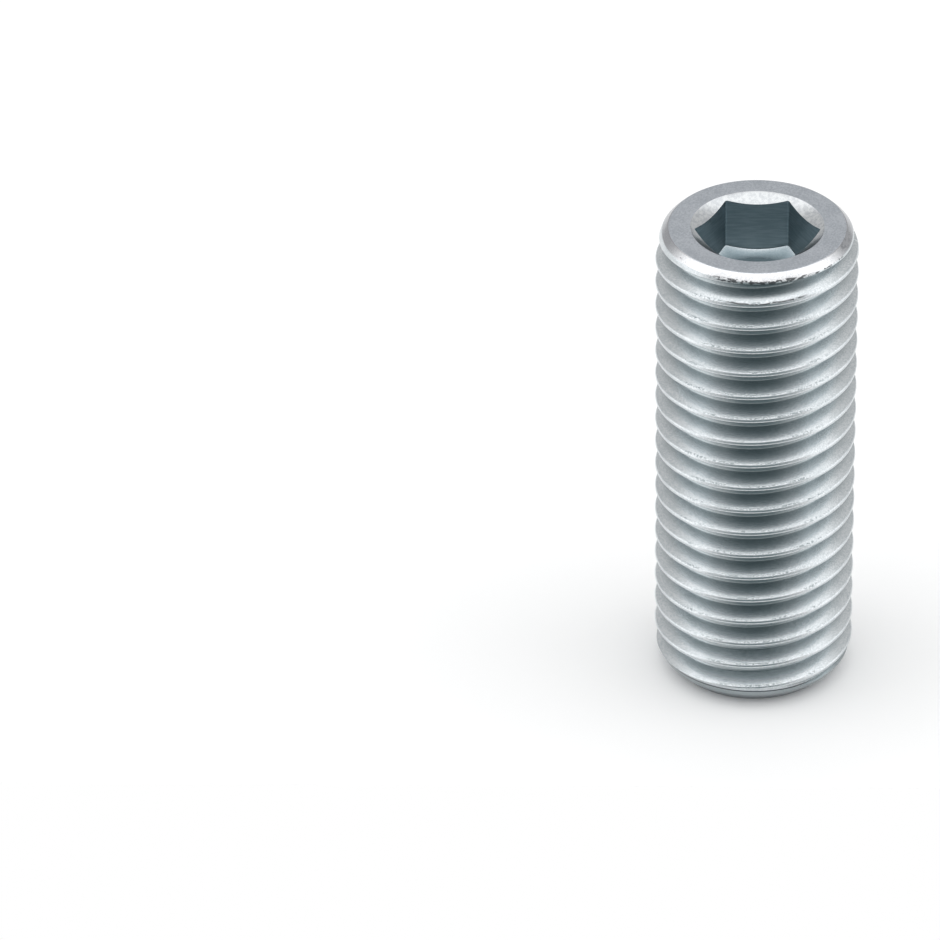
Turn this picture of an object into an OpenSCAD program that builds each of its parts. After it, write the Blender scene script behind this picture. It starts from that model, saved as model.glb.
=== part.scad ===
// Hexagon socket set screw with a flat point, for a hexagon key. It is one
// piece of steel: a right-hand thread runs along its whole length, both ends
// are chamfered, and the upper end holds a broached hexagon socket.
// The screw stands on its point at the origin. +Z is its axis, towards the
// socket, two corners of the hexagon lie on the X axis, and -Y is the front.
// All lengths are in millimetres.

/* [Thread] */
// Diameter over the crests of the thread
thread_d = 19; // [18:0.05:24]
// Distance from one crest to the next along the axis
thread_pitch = 2.54; // [2.2:0.01:3]
// Width of the narrow flat on the crest
crest_w = 0.32; // [0.2:0.01:0.45]
// Radius of the rounded groove bottom
root_r = 0.37; // [0.2:0.01:0.45]
// Angle between the two flanks of the groove
flank_angle = 60; // [55:1:65]
// Depth below the socket face at which a crest crosses the front
crest_drop = 0.3; // [0:0.05:2]
// Depth below the socket face at which the groove is half as deep as elsewhere
face_run = 0.95; // [0.7:0.05:1.6]
// Height above the flat point at which the groove is half as deep as elsewhere
point_run = 2.3; // [1.4:0.05:3]
// Length over which the rolled groove fades in there
run_in = 1.2; // [0.8:0.1:1.6]
// Height that the rolled crests next to each chamfer lack
short_crest = 0.55; // [0.3:0.05:0.8]
// Length over which the crests rise to their full height
crest_run = 1.7; // [1:0.1:3]

/* [Body] */
// Length from the flat point to the socket face
screw_len = 48.5; // [40:0.1:56]
// Width of the chamfer round the socket face
face_chamfer = 0.65; // [0.4:0.05:0.9]
// Width of the chamfer round the flat point
point_chamfer = 1.3; // [0.8:0.05:1.8]
// Angle between each chamfer and the axis
chamfer_angle = 45; // [40:1:50]

/* [Socket] */
// Width of the hexagon across its flats
socket_af = 10.2; // [8:0.05:10.8]
// Depth of the hexagon at its corners, below the socket face
socket_depth = 5.25; // [4.5:0.05:9]
// Width of the countersink outside the hexagon's corners
sink_w = 0.36; // [0.2:0.02:0.6]
// Angle across the countersink cone
sink_angle = 120; // [90:1:130]
// Depth of the steep rim round the countersink
rim_depth = 0.35; // [0.2:0.05:0.6]
// Width of that rim
rim_w = 0.12; // [0.06:0.02:0.18]
// Angle across the cone below the hexagon
drill_angle = 120; // [110:1:140]
// Radius of the flat in the middle of the socket's bottom
floor_r = 4.3; // [2:0.1:4.6]

/* [Hidden] */

// Straight runs that stand for the rounded groove bottom
root_steps = 4;
// Triangles that the thread may use, shared out over its turns
thread_triangles = 10500;
// How far the cutting tools reach past the surfaces that they cut
reach = thread_pitch;

crest_r = thread_d / 2;
half_flank = flank_angle / 2;
low_crest_r = crest_r - short_crest;

// Radius where the two flanks of a groove would meet if it had no rounding
vee_r = crest_r - (thread_pitch - crest_w) / 2 / tan(half_flank);
// Radius of the circle of centres of the groove's rounding
root_centre_r = vee_r + root_r / sin(half_flank);
// Angle that the rounding turns through on each side of the groove's middle
root_turn = 90 - half_flank;
groove_r = root_centre_r - root_r;

// The profile has the two edges of a crest and the points of one groove
profile_n = root_steps + 3;
// The helix starts and ends more than a turn beyond the ends of the screw
turns = ceil(screw_len / thread_pitch) + 3;
steps = 2 * floor(thread_triangles / turns / profile_n / 4);
rows = turns * steps;
start_z = screw_len - crest_drop - (turns - 2) * thread_pitch;

socket_r = socket_af / 2 / cos(30);
sink_r = socket_r + sink_w;

// Point j of the profile, as its radius and its height above the crest's middle
function profile(j) =
    j == 0 ? [crest_r, -crest_w / 2] :
    j == 1 ? [crest_r, crest_w / 2] :
    let(turn = root_turn * (2 * (j - 2) / root_steps - 1))
    [root_centre_r - root_r * cos(turn), thread_pitch / 2 + root_r * sin(turn)];

// Smooth rise from 0 to 1 while x goes from -0.5 to 0.5
function ramp(x) =
    let(t = min(1, max(0, x + 0.5)))
    t * t * (3 - 2 * t);

// Least radius at a height: near each end the groove isn't yet at its full depth
function groove_floor(z) =
    let(past_face = screw_len - z - face_run)
    let(past_point = z - point_run)
    crest_r - (crest_r - groove_r) * ramp(min(past_face, past_point) / run_in);

// Point j of the profile where it has climbed k steps up the helix
function thread_point(k, j) =
    let(turned = 360 * k / steps - 90)
    let(p = profile(j))
    let(z = start_z + thread_pitch * k / steps + p[1])
    let(r = max(p[0], groove_floor(z)))
    [r * cos(turned), r * sin(turned), z];

// Number of that point: past the profile's end it is the start of the next turn
function number(k, j) =
    j < profile_n ? k * profile_n + j :
    k + steps <= rows ? (k + steps) * profile_n :
    (rows + 1) * profile_n + k + steps - rows - 1;

// A threaded rod, longer than the screw, closed at both ends by a point on the axis
module threaded_rod() {
    wall = [for (k = [0 : rows]) for (j = [0 : profile_n - 1]) thread_point(k, j)];
    last_edge = [for (k = [rows + 1 : rows + steps]) thread_point(k, 0)];
    ends = [[0, 0, start_z - reach], [0, 0, start_z + (turns + 1) * thread_pitch + reach]];
    low = len(wall) + len(last_edge);
    high = low + 1;
    below = [for (k = [0 : rows - 1]) for (j = [0 : profile_n - 1])
        [number(k, j), number(k + 1, j + 1), number(k + 1, j)]];
    above = [for (k = [0 : rows - 1]) for (j = [0 : profile_n - 1])
        [number(k, j), number(k, j + 1), number(k + 1, j + 1)]];
    low_turn = [for (k = [0 : steps - 1]) [low, number(k, 0), number(k + 1, 0)]];
    low_step = [for (j = [0 : profile_n - 1]) [low, number(0, j + 1), number(0, j)]];
    high_turn = [for (k = [rows - steps : rows - 1])
        [high, number(k + 1, profile_n), number(k, profile_n)]];
    high_step = [for (j = [0 : profile_n - 1]) [high, number(rows, j), number(rows, j + 1)]];
    polyhedron(
        points = concat(wall, last_edge, ends),
        faces = concat(below, above, low_turn, low_step, high_turn, high_step),
        convexity = 12);
}

// Everything outside one end: above its flat face at the origin, outside its chamfer,
// and outside the taper on which the short crests rise to their full height
module end_cut(chamfer) {
    chamfer_drop = chamfer / tan(chamfer_angle);
    // Past the end of the threaded rod
    top = 5 * thread_pitch;
    rotate_extrude($fn = 96)
    polygon([
        [0, 0],
        [low_crest_r - chamfer, 0],
        [low_crest_r, -chamfer_drop],
        [crest_r + reach, -chamfer_drop - crest_run * (short_crest + reach) / short_crest],
        [crest_r + reach, top],
        [0, top]]);
}

// The hexagon, down to a cone with a flat in its middle
module hexagon_hole() {
    corner_z = screw_len - socket_depth;
    floor_z = corner_z - (socket_r - floor_r) / tan(drill_angle / 2);
    top = screw_len + reach;
    intersection() {
        translate([0, 0, floor_z - reach])
        cylinder(h = top - floor_z + reach, r = socket_r, $fn = 6);
        rotate_extrude($fn = 96)
        polygon([
            [0, floor_z],
            [floor_r, floor_z],
            [socket_r + reach, corner_z + reach / tan(drill_angle / 2)],
            [socket_r + reach, top + reach],
            [0, top + reach]]);
    }
}

// The cone round the hexagon's mouth, with its steep rim
module countersink() {
    cone_r = sink_r - rim_w;
    cone_z = screw_len - rim_depth;
    rotate_extrude($fn = 96)
    polygon([
        [0, cone_z - cone_r / tan(sink_angle / 2)],
        [cone_r, cone_z],
        [sink_r + rim_w, screw_len + rim_depth],
        [0, screw_len + rim_depth]]);
}

module set_screw() {
    color("#aab4bb")
    difference() {
        threaded_rod();
        translate([0, 0, screw_len])
        end_cut(face_chamfer);
        mirror([0, 0, 1])
        end_cut(point_chamfer);
        hexagon_hole();
        countersink();
    }
}

set_screw();
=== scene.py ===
"""Hexagon socket set screw, standing on its flat point.

Everything is in metres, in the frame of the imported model: the screw stands on the origin,
+Z is its axis, towards the socket, and -Y is the front.
"""
import math

import bmesh
import bpy
from mathutils import Matrix, Vector


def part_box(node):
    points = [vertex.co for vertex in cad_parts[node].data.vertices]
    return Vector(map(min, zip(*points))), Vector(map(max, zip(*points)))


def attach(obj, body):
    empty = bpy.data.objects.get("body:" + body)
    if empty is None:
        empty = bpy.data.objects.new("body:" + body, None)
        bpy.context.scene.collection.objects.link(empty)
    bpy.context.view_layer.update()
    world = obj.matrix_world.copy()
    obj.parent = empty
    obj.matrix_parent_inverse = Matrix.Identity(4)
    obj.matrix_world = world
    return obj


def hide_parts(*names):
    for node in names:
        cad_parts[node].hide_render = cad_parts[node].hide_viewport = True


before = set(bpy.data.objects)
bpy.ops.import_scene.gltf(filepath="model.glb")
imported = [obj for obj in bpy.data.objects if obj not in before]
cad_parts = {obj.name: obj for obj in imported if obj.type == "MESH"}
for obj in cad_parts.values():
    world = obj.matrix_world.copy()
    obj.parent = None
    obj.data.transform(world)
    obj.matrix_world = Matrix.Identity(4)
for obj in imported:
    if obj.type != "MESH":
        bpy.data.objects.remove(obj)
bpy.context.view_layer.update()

MM = 0.001
LOW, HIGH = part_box("set_screw")
LENGTH = HIGH[2] - LOW[2]
CREST_R = (HIGH[0] - LOW[0]) / 2

# The thread: its pitch, the narrow flat on its crest, the rounding of its groove and of its crest
PITCH = 2.54 * MM
CREST_W = 0.32 * MM
ROOT_R = 0.37 * MM
CREST_ROUND = 0.26 * MM
HALF_FLANK = math.radians(30)
# Depth below the socket face at which a crest crosses the front
CREST_DROP = 0.3 * MM
# Where the rolled groove is half as deep as elsewhere, from each end, and how fast it fades there
FACE_RUN = 0.95 * MM
POINT_RUN = 1.95 * MM
RUN_IN = 1.2 * MM
# What the crests next to each chamfer lack in height, and the lengths over which they rise
SHORT_CREST = 0.55 * MM
FACE_RISE = 1.7 * MM
POINT_RISE = 1.2 * MM

# The ends: widths of the chamfers, both at 45 degrees, and the rounding of their edges
FACE_CHAMFER = 0.65 * MM
POINT_CHAMFER = 1.3 * MM
EDGE_ROUND = 0.14 * MM

# The socket: hexagon across flats with rounded corners, its depth there, and the flat of its floor
SOCKET_AF = 10.2 * MM
SOCKET_CORNER = 0.3 * MM
SOCKET_DEPTH = 5.25 * MM
FLOOR_R = 4.3 * MM
HALF_DRILL = math.radians(60)
# Half the angle that one side of the hexagon spans
HALF_SIDE = math.radians(30)
# Its countersink, with a steep rim
SINK_W = 0.36 * MM
HALF_SINK = math.radians(60)
RIM_DEPTH = 0.22 * MM
RIM_W = 0.2 * MM

VEE_R = CREST_R - (PITCH - CREST_W) / 2 / math.tan(HALF_FLANK)
GROOVE_R = VEE_R + ROOT_R / math.sin(HALF_FLANK) - ROOT_R
LOW_CREST_R = CREST_R - SHORT_CREST
FACE_R = LOW_CREST_R - FACE_CHAMFER
POINT_R = LOW_CREST_R - POINT_CHAMFER
SOCKET_R = SOCKET_AF / 2 / math.cos(HALF_SIDE)
SINK_R = SOCKET_R + SINK_W

# How far a cutting tool reaches past the surface that it cuts
REACH = 2 * MM
# Steps in one turn of the thread, and sides of what is turned on the lathe
TURN_STEPS = 144
# Edges sharper than this stay crisp, and faces that meet at less are shaded as one
CREASE = math.radians(38)
# How far along the axis a normal points, at most on a wall and at least on a level face
WALL_SLOPE = 0.3
LEVEL_SLOPE = 0.9

# Darker colours: painted shade in a groove and on the lowest turn, also used for torn specks,
# the dark of a lap, a painted shadow where the groove fades out, painted shade on the chamfer
# away from the front, and a painted shadow where the point meets what the screw stands on
GROOVE_SHADOW_AND_SPECK = (0.16, 0.21, 0.22)
LAP_SHADE = (0.06, 0.065, 0.07)
NOTCH_SHADOW = (0.04, 0.05, 0.06)
SIDE_SHADOW = (0.33, 0.34, 0.36)
CONTACT_SHADOW = (0.05, 0.06, 0.07)
# Each finish: its darker and its lighter colour, its roughness, and its grain's spots in a metre
# and their height
FINISHES = {
    "rolled_thread": ((0.54, 0.58, 0.60), (0.67, 0.70, 0.72), 0.25, 7000, 0.0001 * MM),
    "socket_face": ((0.42, 0.45, 0.49), (0.54, 0.57, 0.61), 0.40, 7000, 0.0015 * MM),
    "chamfer": ((0.70, 0.71, 0.73), (0.80, 0.81, 0.82), 0.22, 5000, 0.0003 * MM),
    # The point's chamfer is darker than the rest: a painted shade near the base
    "point_chamfer": ((0.34, 0.38, 0.41), (0.42, 0.46, 0.49), 0.30, 5000, 0.0003 * MM),
    "countersink": ((0.52, 0.54, 0.56), (0.63, 0.65, 0.66), 0.24, 2500, 0.0002 * MM),
    "socket_wall": ((0.30, 0.37, 0.40), (0.38, 0.45, 0.48), 0.34, 5000, 0.0004 * MM),
    "socket_cone": ((0.66, 0.71, 0.74), (0.76, 0.80, 0.82), 0.24, 6000, 0.0002 * MM),
    "socket_floor": ((0.46, 0.53, 0.56), (0.54, 0.60, 0.63), 0.26, 6000, 0.0002 * MM),
}


def deselect_all():
    for thing in bpy.context.selected_objects:
        thing.select_set(False)


def start_piece(name):
    """Name the primitive that was just added, and put its place in its mesh."""
    piece = bpy.context.active_object
    piece.name = piece.data.name = name
    bpy.ops.object.transform_apply(location=True, rotation=True, scale=True)
    return piece


def select_where(piece, kind, rule):
    """In edit mode, select the vertices, edges or faces for which the rule holds."""
    bpy.ops.mesh.select_mode(type={"verts": "VERT", "edges": "EDGE", "faces": "FACE"}[kind])
    bpy.ops.mesh.select_all(action="DESELECT")
    mesh = bmesh.from_edit_mesh(piece.data)
    for item in getattr(mesh, kind):
        item.select_set(rule(item))
    mesh.select_flush_mode()
    bmesh.update_edit_mesh(piece.data)


def apply_modifier(piece, kind, **settings):
    modifier = piece.modifiers.new(kind.lower(), kind)
    for name, value in settings.items():
        setattr(modifier, name, value)
    bpy.context.view_layer.objects.active = piece
    bpy.ops.object.modifier_apply(modifier=modifier.name)


def carve(piece, tool, operation):
    """Cut a tool out of the piece, or keep only what lies in it, and put the tool away."""
    apply_modifier(piece, "BOOLEAN", operation=operation, object=tool, solver="EXACT")
    bpy.data.objects.remove(tool)


def radius(place):
    return math.hypot(place[0], place[1])


def ramp(x):
    """Smooth rise from 0 to 1 while x goes from -0.5 to 0.5."""
    t = min(1, max(0, x + 0.5))
    return t * t * (3 - 2 * t)


def groove_floor(z):
    """Least radius at a height: near each end the groove isn't yet at its full depth."""
    past_end = min(LENGTH - z - FACE_RUN, z - POINT_RUN)
    return CREST_R - (CREST_R - GROOVE_R) * ramp(past_end / RUN_IN)


def threaded_rod():
    """A rod with the thread all along it, longer than the screw at both ends."""
    spare_turns = 2
    turns = math.ceil(LENGTH / PITCH) + 2 * spare_turns
    start_z = LENGTH - CREST_DROP - (turns - spare_turns) * PITCH
    bpy.ops.mesh.primitive_plane_add(size=CREST_W, location=(0, -CREST_R, start_z))
    rod = start_piece("threaded_rod")
    bpy.ops.object.mode_set(mode="EDIT")
    bpy.ops.mesh.merge(type="CENTER")
    moves = [
        (0, CREST_W / 2),
        (VEE_R - CREST_R, (PITCH - CREST_W) / 2),
        (CREST_R - VEE_R, (PITCH - CREST_W) / 2),
        (0, CREST_W / 2),
    ]
    for outwards, upwards in moves:
        bpy.ops.mesh.extrude_region_move(TRANSFORM_OT_translate={"value": (0, -outwards, upwards)})
    middle = start_z + PITCH / 2
    select_where(rod, "verts", lambda v: abs(v.co.z - middle) < CREST_W / 2)
    bpy.ops.mesh.bevel(affect="VERTICES", offset=ROOT_R / math.tan(HALF_FLANK), segments=8)
    edge_z = PITCH / 2 - CREST_W / 2
    select_where(rod, "verts", lambda v: abs(abs(v.co.z - middle) - edge_z) < CREST_W / 10)
    bpy.ops.mesh.bevel(affect="VERTICES", offset=CREST_ROUND * math.tan(HALF_FLANK), segments=4)
    bpy.ops.object.mode_set(mode="OBJECT")
    apply_modifier(
        rod, "SCREW", axis="Z", angle=2 * math.pi, screw_offset=PITCH, iterations=turns,
        steps=TURN_STEPS, render_steps=TURN_STEPS, use_smooth_shade=True)
    for vertex in rod.data.vertices:
        place = vertex.co
        growth = max(radius(place), groove_floor(place.z)) / radius(place)
        place.x *= growth
        place.y *= growth
    bpy.ops.object.mode_set(mode="EDIT")
    bpy.ops.mesh.select_all(action="SELECT")
    bpy.ops.mesh.remove_doubles(threshold=0.001 * MM)
    for end, outwards in ((LENGTH + PITCH / 2, 1), (-PITCH / 2, -1)):
        bpy.ops.mesh.select_all(action="SELECT")
        bpy.ops.mesh.bisect(
            plane_co=(0, 0, end), plane_no=(0, 0, outwards), use_fill=True, clear_outer=True)
    bpy.ops.mesh.select_all(action="SELECT")
    bpy.ops.mesh.normals_make_consistent(inside=False)
    bpy.ops.object.mode_set(mode="OBJECT")
    return rod


def lathe(name, outline):
    """A solid turned on the screw's axis: a disc, drawn out along an outline.

    Each point of the outline is a radius and a height.
    """
    (first_r, first_z), *rest = outline
    bpy.ops.mesh.primitive_circle_add(
        vertices=TURN_STEPS, radius=first_r, fill_type="NGON", location=(0, 0, first_z))
    piece = start_piece(name)
    bpy.ops.object.mode_set(mode="EDIT")
    last_r, last_z = first_r, first_z
    for next_r, next_z in rest:
        bpy.ops.mesh.extrude_region_move(TRANSFORM_OT_translate={"value": (0, 0, next_z - last_z)})
        growth = next_r / last_r
        bpy.ops.transform.resize(value=(growth, growth, 1), center_override=(0, 0, next_z))
        last_r, last_z = next_r, next_z
    bpy.ops.mesh.select_all(action="SELECT")
    bpy.ops.mesh.normals_make_consistent(inside=False)
    bpy.ops.object.mode_set(mode="OBJECT")
    return piece


def turned_blank():
    """A bar with a chamfer round each end, behind which it widens past the crests."""
    over = 0.3 * MM
    past_crest = (SHORT_CREST + over) / SHORT_CREST
    blank = lathe("turned_blank", [
        (POINT_R, 0),
        (LOW_CREST_R, POINT_CHAMFER),
        (CREST_R + over, POINT_CHAMFER + POINT_RISE * past_crest),
        (CREST_R + over, LENGTH - FACE_CHAMFER - FACE_RISE * past_crest),
        (LOW_CREST_R, LENGTH - FACE_CHAMFER),
        (FACE_R, LENGTH)])
    bpy.ops.object.mode_set(mode="EDIT")
    edges = ((LENGTH, 4), (0, 4), (LENGTH - FACE_CHAMFER, 3), (POINT_CHAMFER, 3))
    for edge_z, segments in edges:
        select_where(
            blank, "edges",
            lambda e: all(abs(v.co.z - edge_z) < EDGE_ROUND / 2 for v in e.verts))
        bpy.ops.mesh.bevel(offset=EDGE_ROUND, segments=segments)
    bpy.ops.object.mode_set(mode="OBJECT")
    return blank


def hexagon_broach():
    """The hexagon with rounded corners, down to a cone that ends in the socket's flat floor."""
    corner_z = LENGTH - SOCKET_DEPTH
    floor_z = corner_z - (SOCKET_R - FLOOR_R) / math.tan(HALF_DRILL)
    low = floor_z - REACH
    high = LENGTH + REACH
    bpy.ops.mesh.primitive_cylinder_add(
        vertices=6, radius=SOCKET_R, depth=high - low, location=(0, 0, (low + high) / 2),
        rotation=(0, 0, HALF_SIDE))
    broach = start_piece("hexagon_broach")
    bpy.ops.object.mode_set(mode="EDIT")
    select_where(broach, "edges", lambda e: abs(e.verts[0].co.z - e.verts[1].co.z) > REACH)
    bpy.ops.mesh.bevel(offset=SOCKET_CORNER * math.tan(HALF_SIDE), segments=4)
    bpy.ops.object.mode_set(mode="OBJECT")
    drill = lathe("drill", [
        (FLOOR_R, floor_z),
        (SOCKET_R + REACH, corner_z + REACH / math.tan(HALF_DRILL)),
        (SOCKET_R + REACH, high + REACH)])
    carve(broach, drill, "INTERSECT")
    return broach


def countersink():
    """The cone round the hexagon's mouth, and the steep rim round the cone."""
    cone_r = SINK_R - RIM_W
    cone_z = LENGTH - RIM_DEPTH
    inner_r = SOCKET_AF / 3
    return lathe("countersink", [
        (inner_r, cone_z - (cone_r - inner_r) / math.tan(HALF_SINK)),
        (cone_r, cone_z),
        (SINK_R, LENGTH),
        (SINK_R + RIM_W, LENGTH + RIM_DEPTH)])


def screw_body():
    """The whole screw: the thread trimmed to the turned blank, and the socket cut into it."""
    body = threaded_rod()
    carve(body, turned_blank(), "INTERSECT")
    carve(body, hexagon_broach(), "DIFFERENCE")
    carve(body, countersink(), "DIFFERENCE")
    body.name = body.data.name = "set_screw_body"
    return body


def set_input(tree, socket, value):
    """Give a node's input a value, or link another node's output to it."""
    if isinstance(value, bpy.types.NodeSocket):
        tree.links.new(value, socket)
    else:
        socket.default_value = value


def add_node(tree, kind, inputs=(), **settings):
    """Add a shader node, with its settings and with what goes into its named inputs."""
    new = tree.nodes.new("ShaderNode" + kind)
    for name, value in settings.items():
        setattr(new, name, value)
    for name, value in dict(inputs).items():
        set_input(tree, new.inputs[name], value)
    return new


def maths(tree, operation, *values):
    new = tree.nodes.new("ShaderNodeMath")
    new.operation = operation
    for socket, value in zip(new.inputs, values):
        set_input(tree, socket, value)
    return new.outputs[0]


def product(tree, first, *others):
    for other in others:
        first = maths(tree, "MULTIPLY", first, other)
    return first


def map_range(tree, value, low, high, to_low=0.0, to_high=1.0):
    """Lead a value smoothly from one range into another, and hold it beyond the ends."""
    new = add_node(
        tree, "MapRange",
        {"Value": value, "From Min": low, "From Max": high, "To Min": to_low, "To Max": to_high},
        interpolation_type="SMOOTHSTEP")
    return new.outputs["Result"]


def within(tree, value, low, high, soft):
    """1 between two values, and 0 further than soft outside them."""
    rise = map_range(tree, value, low - soft, low)
    fall = map_range(tree, value, high + soft, high)
    return product(tree, rise, fall)


def mix_colours(tree, share, first, second):
    """The first colour where the share is 0, and the second where it is 1."""
    new = tree.nodes.new("ShaderNodeMix")
    new.data_type = "RGBA"
    # On this node, the share and the two colours are the inputs 0, 6 and 7
    set_input(tree, new.inputs[0], share)
    set_input(tree, new.inputs[6], first)
    set_input(tree, new.inputs[7], second)
    return new.outputs[2]


def tint(tree, colour, share, strength, shade):
    """Draw a colour towards a shade, by the strength where the share is 1."""
    return mix_colours(tree, product(tree, share, strength), colour, (*shade, 1))


def mottle(tree, place, spots, detail):
    """Soft spots at random, between 0 and 1, with their number in a metre."""
    new = add_node(tree, "TexNoise", {"Vector": place, "Scale": spots, "Detail": detail})
    return new.outputs["Fac"]


def stretched(tree, place, share):
    """A place scaled along each axis, so that a pattern is drawn out where the share is small."""
    new = add_node(tree, "VectorMath", {0: place, 1: share}, operation="MULTIPLY")
    return new.outputs["Vector"]


def turn_from_front(tree, way):
    """Angle round the axis, in degrees, from the front towards +X."""
    turned = maths(tree, "ARCTAN2", way["X"], maths(tree, "MULTIPLY", way["Y"], -1.0))
    return maths(tree, "DEGREES", turned)


def height_on_helix(tree, way, turned):
    """Height less what the thread has climbed from the front: the same all along a crest."""
    return maths(tree, "MULTIPLY_ADD", turned, -PITCH / 360, way["Z"])


def tear(tree, torn, strength, shade, depth, colour, gloss, height):
    """Make the plating darker, rougher and lower where it is torn."""
    rougher = 0.15
    colour = tint(tree, colour, torn, strength, shade)
    gloss = maths(tree, "MULTIPLY_ADD", torn, rougher, gloss)
    height = maths(tree, "MULTIPLY_ADD", torn, -depth, height)
    return colour, gloss, height


def laps(tree, place, way, colour, gloss, height):
    """Dark, jagged laps, where rolling folded the metal over next to the socket face."""
    turned = turn_from_front(tree, way)
    # The jag's spots in a metre, and how much flatter they are than wide
    jag_spots = 2600.0
    flatter = 2.2
    jag = mottle(tree, stretched(tree, place, (1, 1, flatter)), jag_spots, 2.0)
    # A row of laps wanders up and down by half of the sway
    sway = 0.3 * MM
    sway_spots = 500.0
    wander = mottle(tree, place, sway_spots, 1.0)
    swayed = maths(tree, "MULTIPLY_ADD", wander, sway, -sway / 2)
    ring_z = maths(tree, "ADD", way["Z"], swayed)
    crest_z = maths(tree, "ADD", height_on_helix(tree, way, turned), swayed)
    second_crest = LENGTH - CREST_DROP - PITCH
    # Each row: its two angles and how softly it ends there, its two heights, level or along the
    # helix, and the limit past which the jag is a lap
    rows = [
        (-22, 28, 12, ring_z, LENGTH - 0.78 * MM, LENGTH - 0.54 * MM, 0.45),
        (28, 58, 8, ring_z, LENGTH - 0.68 * MM, LENGTH - 0.60 * MM, 0.53),
        (68, 82, 5, ring_z, LENGTH - 0.45 * MM, LENGTH - 0.10 * MM, 0.47),
        (-62, -48, 5, ring_z, LENGTH - 0.50 * MM, LENGTH - 0.40 * MM, 0.56),
        (-14, 24, 8, crest_z, second_crest + 0.18 * MM, second_crest + 0.21 * MM, 0.36),
    ]
    row_soft = 0.07 * MM
    jag_soft = 0.08
    strength = 0.9
    depth = 0.001 * MM
    lap = 0.0
    for first, last, soft, level, low, high, limit in rows:
        row = product(tree, within(tree, turned, first, last, soft),
                      within(tree, level, low, high, row_soft))
        folded = map_range(tree, jag, limit, limit + jag_soft)
        lap = maths(tree, "MAXIMUM", lap, product(tree, row, folded))
    return tear(tree, lap, strength, LAP_SHADE, depth, colour, gloss, height)


def thread_specks_and_shade(tree, place, way, colour, gloss, height):
    """Specks on the thread, and painted shade on it.

    Its grooves and its lowest turn are darkened with painted shade, torn specks run along the
    upper edges of its crests, and a thin painted shadow lies where the groove fades out by the
    point.
    """
    flat = add_node(tree, "CombineXYZ", {"X": way["X"], "Y": way["Y"]}).outputs[0]
    out = add_node(tree, "VectorMath", {"Vector": flat}, operation="LENGTH").outputs["Value"]
    # Painted shade in the grooves: the deeper a place lies, the darker it is
    margin = 0.3 * MM
    groove_strength = 0.46
    deep = map_range(tree, out, CREST_R - margin, GROOVE_R + margin)
    colour = tint(tree, colour, deep, groove_strength, GROOVE_SHADOW_AND_SPECK)

    # How far a place lies over the crest below it, in pitches, counted from a crest so far below
    # the screw that the count is never under 0
    turned = turn_from_front(tree, way)
    start_crest = LENGTH - CREST_DROP - 40 * PITCH
    climbed = maths(tree, "SUBTRACT", height_on_helix(tree, way, turned), start_crest)
    over_crest = maths(tree, "FRACT", maths(tree, "DIVIDE", climbed, PITCH))

    # The specks' band over a crest in pitches, and their angles, each with how softly it ends
    speck_band = (0.075, 0.105, 0.03)
    speck_angles = (-38, 32, 26)
    # Spots in a metre: of the patches that have specks, and of the specks themselves
    patch_spots = 350.0
    speck_spots = 4800.0
    speck_strength = 0.55
    speck_depth = 0.009 * MM
    upper_edge = within(tree, over_crest, *speck_band)
    specked_side = within(tree, turned, *speck_angles)
    patch = map_range(tree, mottle(tree, place, patch_spots, 2.0), 0.38, 0.58)
    speck = map_range(tree, mottle(tree, place, speck_spots, 1.0), 0.50, 0.58)
    torn = product(tree, upper_edge, specked_side, patch, speck)
    colour, gloss, height = tear(
        tree, torn, speck_strength, GROOVE_SHADOW_AND_SPECK, speck_depth, colour, gloss, height)

    # Painted shade low on the thread: from where it starts, down to where it is darkest
    shade_from = 2.3 * MM
    shade_to = 1.8 * MM
    low_shade_strength = 0.5
    low = map_range(tree, way["Z"], shade_from, shade_to)
    colour = tint(tree, colour, low, low_shade_strength, GROOVE_SHADOW_AND_SPECK)

    # A painted shadow where the groove fades out by the point:
    # its heights and angles, each with how softly it ends
    notch_shadow_heights = (1.95 * MM, 2.08 * MM, 0.06 * MM)
    notch_shadow_angles = (-45, 35, 25)
    notch_shadow_strength = 0.92
    notch_shadow = product(
        tree, within(tree, way["Z"], *notch_shadow_heights), within(tree, turned, *notch_shadow_angles))
    colour = tint(tree, colour, notch_shadow, notch_shadow_strength, NOTCH_SHADOW)
    return colour, gloss, height


def painted_side_shade(tree, way, colour):
    """Painted shade on the chamfer: bright at the front, darker round its sides and its back."""
    bright_to = 40
    shade_from = 75
    strength = 0.8
    from_front = maths(tree, "ABSOLUTE", turn_from_front(tree, way))
    side = map_range(tree, from_front, bright_to, shade_from)
    return tint(tree, colour, side, strength, SIDE_SHADOW)


def painted_contact_shadow(tree, way, colour):
    """Painted shadow: the chamfer round the point darkens down to what the screw stands on."""
    strength = 0.6
    low = map_range(tree, way["Z"], POINT_CHAMFER, 0)
    return tint(tree, colour, low, strength, CONTACT_SHADOW)


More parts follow.
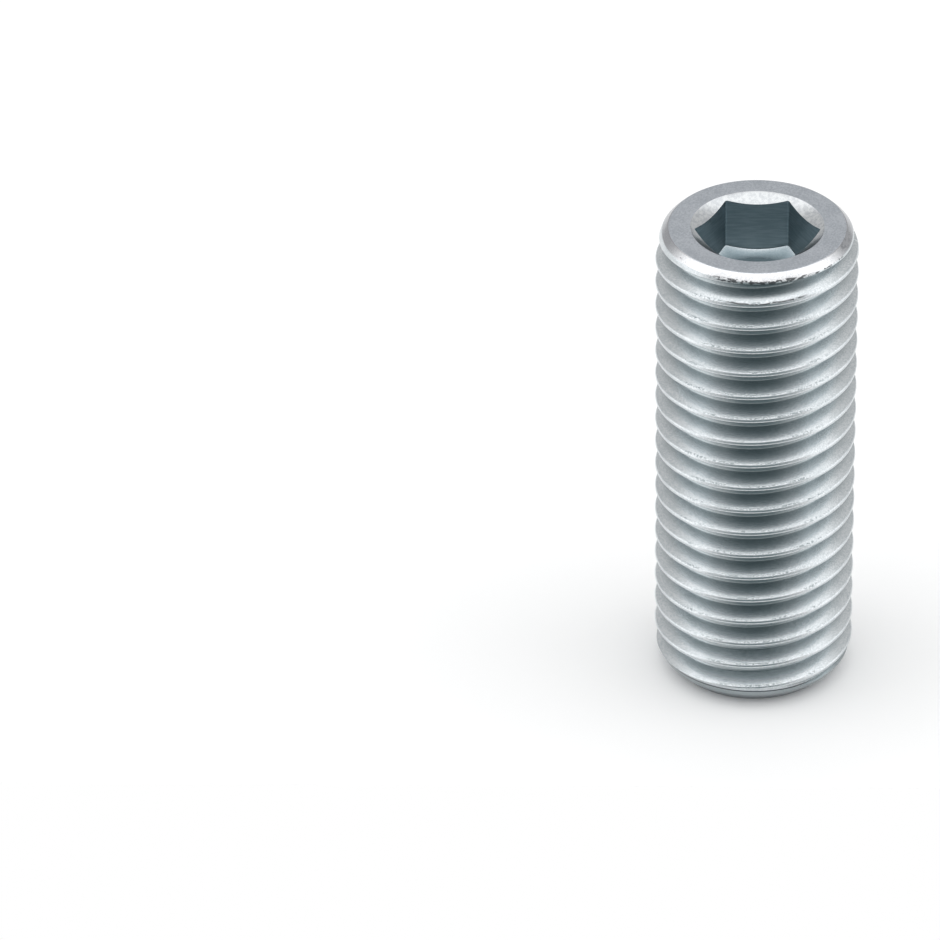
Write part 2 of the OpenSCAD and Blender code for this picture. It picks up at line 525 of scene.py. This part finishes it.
def plated(name, dark, light, rough, grain, grain_height):
    """Zinc plating between two shades, with a fine grain in its colour, gloss and height."""
    # A fine speckle with broader clouds in it makes the blend of the two shades
    speckle_share = 0.75
    cloud_size = 12
    gloss_change = 0.03
    # On the socket's walls, the grain is drawn out across the axis
    wall_grain = (0.12, 0.12, 1)
    material = bpy.data.materials.new(name)
    material.use_nodes = True
    tree = material.node_tree
    shader = tree.nodes["Principled BSDF"]
    shader.inputs["Metallic"].default_value = 1.0
    place = add_node(tree, "TexCoord").outputs["Object"]
    way = add_node(tree, "SeparateXYZ", {"Vector": place}).outputs
    grain_place = place
    if name == "socket_wall":
        grain_place = stretched(tree, place, wall_grain)
    speckle = mottle(tree, grain_place, grain, 2.0)
    cloud = mottle(tree, grain_place, grain / cloud_size, 2.0)
    blend = maths(tree, "MULTIPLY_ADD", speckle, speckle_share,
                  product(tree, cloud, 1 - speckle_share))
    colour = mix_colours(tree, map_range(tree, blend, 0.38, 0.62), (*dark, 1), (*light, 1))
    gloss = map_range(
        tree, speckle, 0.3, 0.7, rough * (1 - gloss_change), rough * (1 + gloss_change))
    height = product(tree, speckle, grain_height)
    # Specks on the thread, with painted shade in its grooves and low down
    if name == "rolled_thread":
        colour, gloss, height = thread_specks_and_shade(tree, place, way, colour, gloss, height)
    if name in ("rolled_thread", "chamfer"):
        colour, gloss, height = laps(tree, place, way, colour, gloss, height)
    # Painted shade on the chamfer's sides, and a painted shadow at the foot of the point
    if name == "chamfer":
        colour = painted_side_shade(tree, way, colour)
    if name == "point_chamfer":
        colour = painted_contact_shadow(tree, way, colour)
    set_input(tree, shader.inputs["Base Color"], colour)
    set_input(tree, shader.inputs["Roughness"], gloss)
    bump = add_node(tree, "Bump", {"Height": height, "Distance": 1.0})
    set_input(tree, shader.inputs["Normal"], bump.outputs["Normal"])
    return material


def finish_of(face):
    """The finish of a face, by its place and the way that it faces."""
    place = face.center
    out = radius(place)
    below_face = LENGTH - place.z
    slope = face.normal.z
    in_socket = out < SINK_R - RIM_W / 2 and below_face < SOCKET_DEPTH * 1.5
    if abs(slope) > LEVEL_SLOPE and min(below_face, place.z) < EDGE_ROUND / 2:
        return "socket_face"
    if in_socket:
        if abs(slope) < WALL_SLOPE:
            return "socket_wall"
        if below_face < SOCKET_DEPTH / 2:
            return "countersink"
        return "socket_floor" if slope > LEVEL_SLOPE else "socket_cone"
    if out < SINK_R and 0 < below_face < RIM_DEPTH:
        return "countersink"
    if slope > WALL_SLOPE and below_face < FACE_CHAMFER:
        return "chamfer"
    if slope < -WALL_SLOPE and place.z < POINT_CHAMFER:
        return "point_chamfer"
    return "rolled_thread"


def dress(body):
    """Give every face its finish, and smooth the body's shading between its crisp edges."""
    names = list(FINISHES)
    for name in names:
        body.data.materials.append(plated(name, *FINISHES[name]))
    for face in body.data.polygons:
        face.material_index = names.index(finish_of(face))
    deselect_all()
    body.select_set(True)
    bpy.context.view_layer.objects.active = body
    bpy.ops.object.shade_smooth_by_angle(angle=CREASE)
    apply_modifier(body, "WEIGHTED_NORMAL", keep_sharp=True)


def set_camera():
    """The photograph's camera: a long lens, above the screw and rolled by nearly a degree."""
    image = 940
    focal_px = 7268.3
    aim = Vector((0, 0, 24.72 * MM))
    aim_px = Vector((755.24, 439.56))
    distance = 689.4 * MM
    tilt = math.radians(33.593)
    roll = math.radians(-0.895)
    swing = math.radians(2.2)
    turn = Matrix.Rotation(swing, 3, "Z")
    level = turn @ Vector((1, 0, 0))
    steep = turn @ Vector((0, math.sin(tilt), math.cos(tilt)))
    ahead = turn @ Vector((0, math.cos(tilt), -math.sin(tilt)))
    right = math.cos(roll) * level + math.sin(roll) * steep
    up = math.cos(roll) * steep - math.sin(roll) * level
    sideways = (aim_px.x - image / 2) / focal_px * distance
    upwards = (image / 2 - aim_px.y) / focal_px * distance
    eye = aim - sideways * right - upwards * up - distance * ahead
    data = bpy.data.cameras.new("camera")
    data.sensor_width = 36
    data.lens = focal_px / image * data.sensor_width
    data.clip_start = 10 * MM
    data.clip_end = 10
    camera = bpy.data.objects.new("camera", data)
    bpy.context.collection.objects.link(camera)
    way = Matrix((right, up, -ahead)).transposed().to_4x4()
    camera.matrix_world = Matrix.Translation(eye) @ way
    bpy.context.scene.camera = camera


def light_tent():
    """A white tent, brightest overhead and in a tall box on each side, and greyer behind.

    Low in front it is open to a dark room. The camera sees plain white in place of the tent.
    """
    wall = (0.8, 0.8, 0.8, 1)
    lamp_box = (1.5, 1.5, 1.5, 1)
    back_wall = (0.66, 0.66, 0.66, 1)
    dark_room = (0.22, 0.27, 0.28, 1)
    white = (1, 1, 1, 1)
    world = bpy.data.worlds.new("light_tent")
    bpy.context.scene.world = world
    world.use_nodes = True
    tree = world.node_tree
    shade = tree.nodes["Background"]
    direction = add_node(tree, "TexCoord").outputs["Generated"]
    way = add_node(tree, "SeparateXYZ", {"Vector": direction}).outputs
    height = way["Z"]
    across = maths(tree, "SQRT", maths(tree, "SUBTRACT", 1.0, product(tree, height, height)))
    ahead = maths(tree, "DIVIDE", maths(tree, "MULTIPLY", way["Y"], -1.0), across)

    def round_from_front(first, last):
        """From 0 to 1 between two angles round the tent, in degrees from its front."""
        return map_range(
            tree, ahead, math.cos(math.radians(first)), math.cos(math.radians(last)))

    def up_the_wall(first, last):
        """From 0 to 1 between two angles above the horizon, in degrees."""
        return map_range(
            tree, height, math.sin(math.radians(first)), math.sin(math.radians(last)))

    overhead = up_the_wall(42, 62)
    sides = product(tree, round_from_front(50, 70), round_from_front(125, 100))
    behind = product(tree, round_from_front(110, 150), up_the_wall(60, 45))
    opening = product(
        tree, round_from_front(50, 0), up_the_wall(45, 20), up_the_wall(-52, -38))
    light = mix_colours(tree, overhead, wall, lamp_box)
    light = mix_colours(tree, sides, light, lamp_box)
    light = mix_colours(tree, behind, light, back_wall)
    light = mix_colours(tree, opening, light, dark_room)
    seen = add_node(tree, "LightPath").outputs["Is Camera Ray"]
    set_input(tree, shade.inputs["Color"], mix_colours(tree, seen, light, white))
    shade.inputs["Strength"].default_value = 1.0


def table():
    """A white table, which ends close in front of the screw.

    It glows faintly for the camera and in a gloss or through glass, and lights nothing dull.
    """
    front = 22 * MM
    back = 3.0
    half_w = 3.0
    paint = (0.91, 0.91, 0.91, 1)
    glow = 0.05
    bpy.ops.mesh.primitive_plane_add(size=2, location=(0, (back - front) / 2, 0))
    top = bpy.context.active_object
    top.name = top.data.name = "table"
    top.scale = (half_w, (back + front) / 2, 1)
    bpy.ops.object.transform_apply(location=True, scale=True)
    material = bpy.data.materials.new("white_table")
    material.use_nodes = True
    shader = material.node_tree.nodes["Principled BSDF"]
    shader.inputs["Base Color"].default_value = paint
    shader.inputs["Roughness"].default_value = 0.9
    shader.inputs["Specular IOR Level"].default_value = 0.0
    tree = material.node_tree
    ray = add_node(tree, "LightPath").outputs
    seen = maths(tree, "MAXIMUM", ray["Is Camera Ray"],
                 maths(tree, "MAXIMUM", ray["Is Glossy Ray"], ray["Is Transmission Ray"]))
    shader.inputs["Emission Color"].default_value = (1, 1, 1, 1)
    set_input(tree, shader.inputs["Emission Strength"], product(tree, seen, glow))
    top.data.materials.append(material)


bpy.context.scene.view_settings.view_transform = "Standard"
deselect_all()
set_camera()
light_tent()
table()
deselect_all()
body = screw_body()
dress(body)
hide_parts("set_screw")
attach(body, "root")
